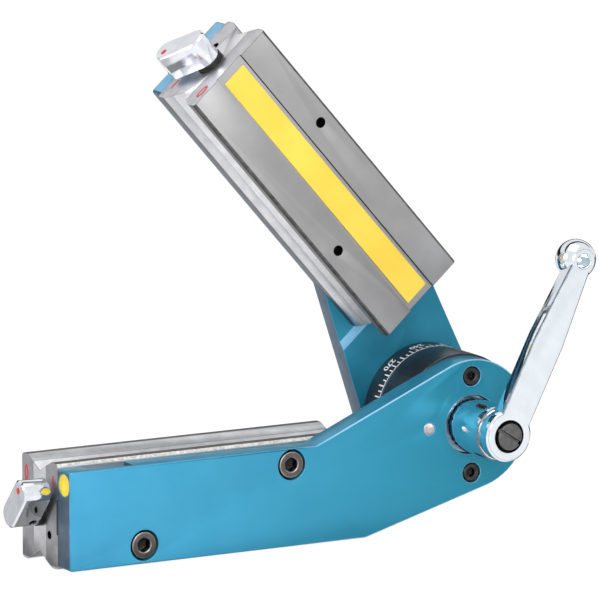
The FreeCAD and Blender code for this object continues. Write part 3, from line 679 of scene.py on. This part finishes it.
# The yellow disc is a moulded plug pressed into a recess at the plate's far end, where the lower bar's
# switch is. It is glossier than the marking strip.

yellow_plug = finish("moulded_yellow_plug", "#FFE626", "#FFCE18", 0.0, 0.35, 3.0, (1.0, 1.0, 1.0), 0.01)
bench_finished("front_marker_disc", 0.25, [yellow_plug])

# Rear arm plate: the same outline in thinner plate, with a pad left standing round the pivot. It is
# anodised like the front one, and painted a deeper blue: painted shade, as it lies back out of the light.

rear_shaded_anodised = finish(
    "rear_blue_anodised_painted_shade",
    "#2C86A2",
    "#247894",
    0.3,
    0.36,
    22.0,
    (30.0, 0.6, 0.6),
    0.004,
    opening,
    dye_sockets,
)
# The end beside the upper bar's switch and the pad's slope are painted paler: painted light, where they
# turn towards the lamps.
lit_blue_ends = finish("rear_end_blue_painted_light", "#84BEE0", "#6FAED4", 0.4, 0.35, 8.0, (0.7, 0.7, 8.0), 0.004)
along_rear_arm = (-math.cos(opening), 0.0, math.sin(opening))
rear_inner_side = (-math.sin(opening), 0.0, -math.cos(opening))
rear_finishes = [rear_shaded_anodised, lit_blue_ends, sawn_blue, milled_blue]
rear_picks = [
    (facing_to(toward_far_end), 2),
    (facing_to(rear_inner_side), 2),
    (facing_to(along_rear_arm), 1),
]
bench_finished("rear_plate", plate_edge, rear_finishes, (0, 1, 3), rear_picks)

# Magnet bars: two ground steel poles clamped on a bright non-magnetic core that holds the rotor.
# The poles carry vee seats for round stock, and red paint in the stamped 0 and I at the lever end.

# Chrome on polished steel mirrors the room. The switch levers are plated castings, a shade greyer.
chrome = finish("polished_chrome", "#E6ECF1", "#DCE3E9", 1.0, 0.05, 8.0, (3.0, 3.0, 3.0), 0.0002)
plated = finish("plated_casting", "#EAEDF2", "#DADEE4", 1.0, 0.09, 6.0, (3.0, 3.0, 3.0), 0.0004)
# Moulded rubber is nearly black with a soft sheen, and the fill paint a clean glossy red.
rubber = finish("moulded_rubber", "#1B1B1C", "#111112", 0.0, 0.38, 3.0, (1.0, 1.0, 1.0), 0.01)
red_paint = finish("red_fill_paint", "#E0263C", "#C41530", 0.0, 0.4, 1.5, (0.8, 0.8, 0.8), 0.02)
# Inside the bars: ceramic magnet, ground dull, and the rotor's soft iron, machined.
ferrite = finish("ground_ferrite", "#39393B", "#2B2B2D", 0.0, 0.55, 3.0, (0.6, 0.6, 0.6), 0.01)
soft_iron = finish("machined_iron", "#77787A", "#636466", 1.0, 0.4, 4.0, (0.6, 0.6, 0.6), 0.008)
# Holes, the channel walls, the hub's counterbore and the screw slot's walls are painted dark: painted shade
# in recesses.
recess_shade = finish("recess_painted_shade", "#1E1D1D", "#121212", 0.8, 0.5, 2.0, (0.6, 0.6, 0.6), 0.004)
# The ends were faced separately. The upper bar's ends are painted brighter: painted light, as they face up
# towards the lamps.
end_colours_painted_light = {"lower": ("#B9B9BC", "#A5A5A8"), "upper": ("#D6D6D9", "#C6C6CA")}

paint_height = 0.05
paint_depth = 0.1
mark_points = 48
box_power = 8
lever_turn = {"lower": math.radians(42.0), "upper": math.radians(54.0)}
lever_dot_reach = 16.0
lever_dot_side = 1.5
mark_height = -9.0
outer_reach = 15.6
wall_share = 0.9
drilled_face = 9.0


def oval_mark(face_x, middle, outer, inner, power):
    """Painted ring on the plane x = face_x: four closed outlines about the middle (y, z), two below
    the face and two a paint's height in front of it. An outline's half widths are scaled by the
    cosine and sine of its angle, each raised to 2 / power, so 2 gives an oval and 8 nearly a box."""
    theta = np.arange(mark_points) * 2 * math.pi / mark_points
    across = np.sign(np.cos(theta)) * np.abs(np.cos(theta)) ** (2 / power)
    upward = np.sign(np.sin(theta)) * np.abs(np.sin(theta)) ** (2 / power)
    back, front = face_x + paint_depth, face_x - paint_height
    outlines = ((outer, back), (outer, front), (inner, front), (inner, back), (outer, back))
    level = np.ones(mark_points)
    return skin(np.array([
        np.stack([x * level, middle[0] + half[0] * across, middle[1] + half[1] * upward], axis=-1)
        for half, x in outlines
    ]))


def outer_chamfers(centres, normals, areas):
    """Rule: the slanting faces along a pole's outer corners."""
    facing = np.abs(normals[:, 1])
    return (np.abs(centres[:, 1]) > outer_reach) & (facing > slant_share) & (facing < square_share)


def channel_walls(turn):
    """Rule for a bar turned by an angle about Y: the two walls of the channel in a pole's outer face."""

    def rule(centres, normals, areas):
        upright = np.abs(normals[:, 0] * math.sin(turn) + normals[:, 2] * math.cos(turn))
        outer = np.abs(centres[:, 1]) > outer_reach
        return outer & (np.abs(normals[:, 1]) < slant_share) & (upright > wall_share)

    return rule


def bores(centres, normals, areas):
    """Rule: the small faces that a hole's wall is made of."""
    return areas < drilled_face


bar_far = limits("lower_free_pole")[0][0]
lever_face = limits("lower_switch_lever")[0][0]
axis_height = joints["lower_switch_turn"]["pos_m"][2] * 1000 - pivot[2] * 1000

for side, arm, turn in (("lower", "front", 0.0), ("upper", "rear", opening)):
    # Surface-ground mild steel: satin grey, with grinding lines along the bar.
    ground = finish(
        side + "_ground_steel",
        "#A1A0A1",
        "#999899",
        1.0,
        0.42,
        14.0,
        (14.0, 0.5, 0.5),
        0.003,
        turn,
    )
    # The working faces are painted darker, which is painted shade, and the slopes between them brighter,
    # which is painted light.
    dull = finish(
        side + "_land_steel_painted_shade",
        "#7C7A7A",
        "#686767",
        1.0,
        0.45,
        7.0,
        (9.0, 0.6, 0.6),
        0.005,
        turn,
    )
    bright = finish(
        side + "_slope_steel_painted_light",
        "#DFE0E3",
        "#CBCCD0",
        1.0,
        0.34,
        7.0,
        (12.0, 0.5, 0.5),
        0.003,
        turn,
    )
    end_colours = end_colours_painted_light[side]
    end_grey = finish(side + "_end_face_painted_light", *end_colours, 1.0, 0.4, 5.0, (0.6, 0.6, 6.0), 0.005, turn)
    # A plate pole's outer chamfer is pale and speckled with rust and spatter, and a free pole's is dark.
    speckled = finish(
        side + "_speckled_chamfer",
        "#E9E7E4",
        "#B5B2AE",
        0.0,
        0.9,
        1.4,
        (1.2, 1.2, 1.2),
        0.02,
        turn,
        {"Specular IOR Level": 0.1},
    )
    scuffed = finish(
        side + "_scuffed_chamfer",
        "#6C6B6B",
        "#4F4E4E",
        1.0,
        0.4,
        3.0,
        (2.0, 2.0, 2.0),
        0.002,
        turn,
    )
    # Oil and dirt darken each corner that was broken with a file.
    dark_edge = finish(
        side + "_dark_edge",
        "#4E4D4D",
        "#393838",
        1.0,
        0.4,
        3.0,
        (2.0, 2.0, 2.0),
        0.002,
        turn,
    )
    # Milled bright alloy: nearly white, with cutter marks across the bar.
    milled = finish(
        side + "_milled_alloy",
        "#F0F0F3",
        "#DCDCE0",
        1.0,
        0.36,
        6.0,
        (0.6, 6.0, 0.6),
        0.004,
        turn,
    )
    # The channel's walls and the holes' walls take the dark finish, which is painted shade.
    pole_picks = [
        (outer_chamfers, 5),
        (channel_walls(turn), 4),
        (facing_to((-math.cos(turn), 0.0, math.sin(turn))), 3),
        (bores, 4),
    ]
    for pole, chamfer in (("plate_pole", speckled), ("free_pole", scuffed)):
        pole_finishes = [ground, bright, dull, end_grey, recess_shade, chamfer, dark_edge]
        bench_finished(f"{side}_{pole}", 0.22, pole_finishes, (0, 1, 2), pole_picks)
    bench_finished(side + "_core", 0.3, [milled, dark_edge])
    bench_finished(side + "_switch_lever", 0.25, [plated])
    bench_finished(side + "_shaft_seal", 0.12, [rubber])
    bench_finished(side + "_lever_set_screw", 0.1, [black_oxide])
    for node, material in (
        ("tie_screws", black_oxide),
        ("rotor_magnet", ferrite),
        ("rotor_shoes", soft_iron),
        ("drive_shaft", machined_steel),
        ("tail_shaft", machined_steel),
        ("stop_pin", machined_steel),
        ("rotor_bushes", turned_bronze),
    ):
        frame["nodes"][f"{side}_{node}"].data.materials[0] = material

    # Red marks: 0 on the free pole, I on the plate pole and a dot on the lever.
    angle = lever_turn[side]
    dot_middle = (
        -lever_dot_reach * math.sin(angle) + lever_dot_side * math.cos(angle),
        axis_height + lever_dot_reach * math.cos(angle) + lever_dot_side * math.sin(angle),
    )
    zero_shape = (bar_far, (13.5, mark_height), (1.9, 3.9), (0.8, 2.5), 2)
    one_shape = (bar_far, (-13.4, mark_height), (0.6, 2.9), (0, 0), box_power)
    dot_shape = (lever_face, dot_middle, (1.6, 1.6), (0, 0), 2)
    for mark, body, slot, shape in (
        ("zero", arm + "_arm", "pole_steel", zero_shape),
        ("one", arm + "_arm", "pole_steel", one_shape),
        ("dot", side + "_switch", "chrome", dot_shape),
    ):
        points, faces = oval_mark(*shape)
        name = f"{side}_{mark}_mark"
        trim(name, new_mesh(name, placed(points, arm), faces), body, red_paint)

# Yellow strip: plastic film laid in the channel of the upper bar's free pole, left plain. It is flat
# and even, with a soft sheen.

yellow_film = finish("yellow_film", "#F4D753", "#EFCB44", 0.0, 0.45, 30.0, (8.0, 2.0, 2.0), 0.004)
bench_finished("upper_marking_strip", 0.08, [yellow_film])

# Clamp lever: a chromed boss that holds the threaded steel insert, and a chromed crank on its
# square, held by a slotted cheese-head screw in the hub's counterbore.

# The chrome's sharp edges and slanting chamfers are painted dark: a painted reflection of dark
# surroundings.
chrome_edge_painted_reflection = finish("chrome_edge_painted_reflection", "#7C848C", "#5E666E", 1.0, 0.25, 4.0, (2.0, 2.0, 2.0), 0.001)
bench_finished("clamp_boss", 0.12, [chrome, chrome_edge_painted_reflection], (0, 1, 0))
frame["nodes"]["clamp_nut"].data.materials[0] = machined_steel
bench_finished("boss_set_screw", 0.15, [black_oxide])

counterbore_reach = 8.1
counterbore_margin = 0.5
shank_middle = 46
shank_half = 32
crank_front = limits("crank_lever")[0][1]


def hub_counterbore(centres, normals, areas):
    """Rule: the hub's counterbore, which is painted dark as painted shade."""
    inside = np.hypot(centres[:, 0], centres[:, 2]) < counterbore_reach
    return inside & (centres[:, 1] > crank_front + counterbore_margin)


def shank_chamfers(centres, normals, areas):
    """Rule: the slanting faces along the crank between its hub and its ball."""
    facing = np.abs(normals[:, 1])
    between = np.abs(np.hypot(centres[:, 0], centres[:, 2]) - shank_middle) < shank_half
    return between & (facing > slant_share) & (facing < square_share)


crank_picks = [(hub_counterbore, 1), (shank_chamfers, 2)]
bench_finished("crank_lever", 0.2, [chrome, recess_shade, chrome_edge_painted_reflection], (0, 0, 0), crank_picks)

# The screw is turned from steel that has gone dark, and its slot's walls are painted darker still: painted
# shade.
gun_metal = finish("turned_dark_steel", "#6E6E6E", "#585858", 1.0, 0.38, 3.0, (0.6, 0.6, 0.6), 0.008)
slot_tilt = math.radians(-33.0)
slot_half = 0.85
wall_facing = 0.5


def slot_walls(centres, normals, areas):
    """Rule: the walls of the screw's slot."""
    aside = np.abs(centres[:, 0] * math.sin(slot_tilt) - centres[:, 2] * math.cos(slot_tilt))
    return (np.abs(normals[:, 1]) < wall_facing) & (aside < slot_half)


bench_finished("crank_screw", 0.2, [gun_metal, recess_shade, gun_metal], (0, 0, 0), [(slot_walls, 1)])
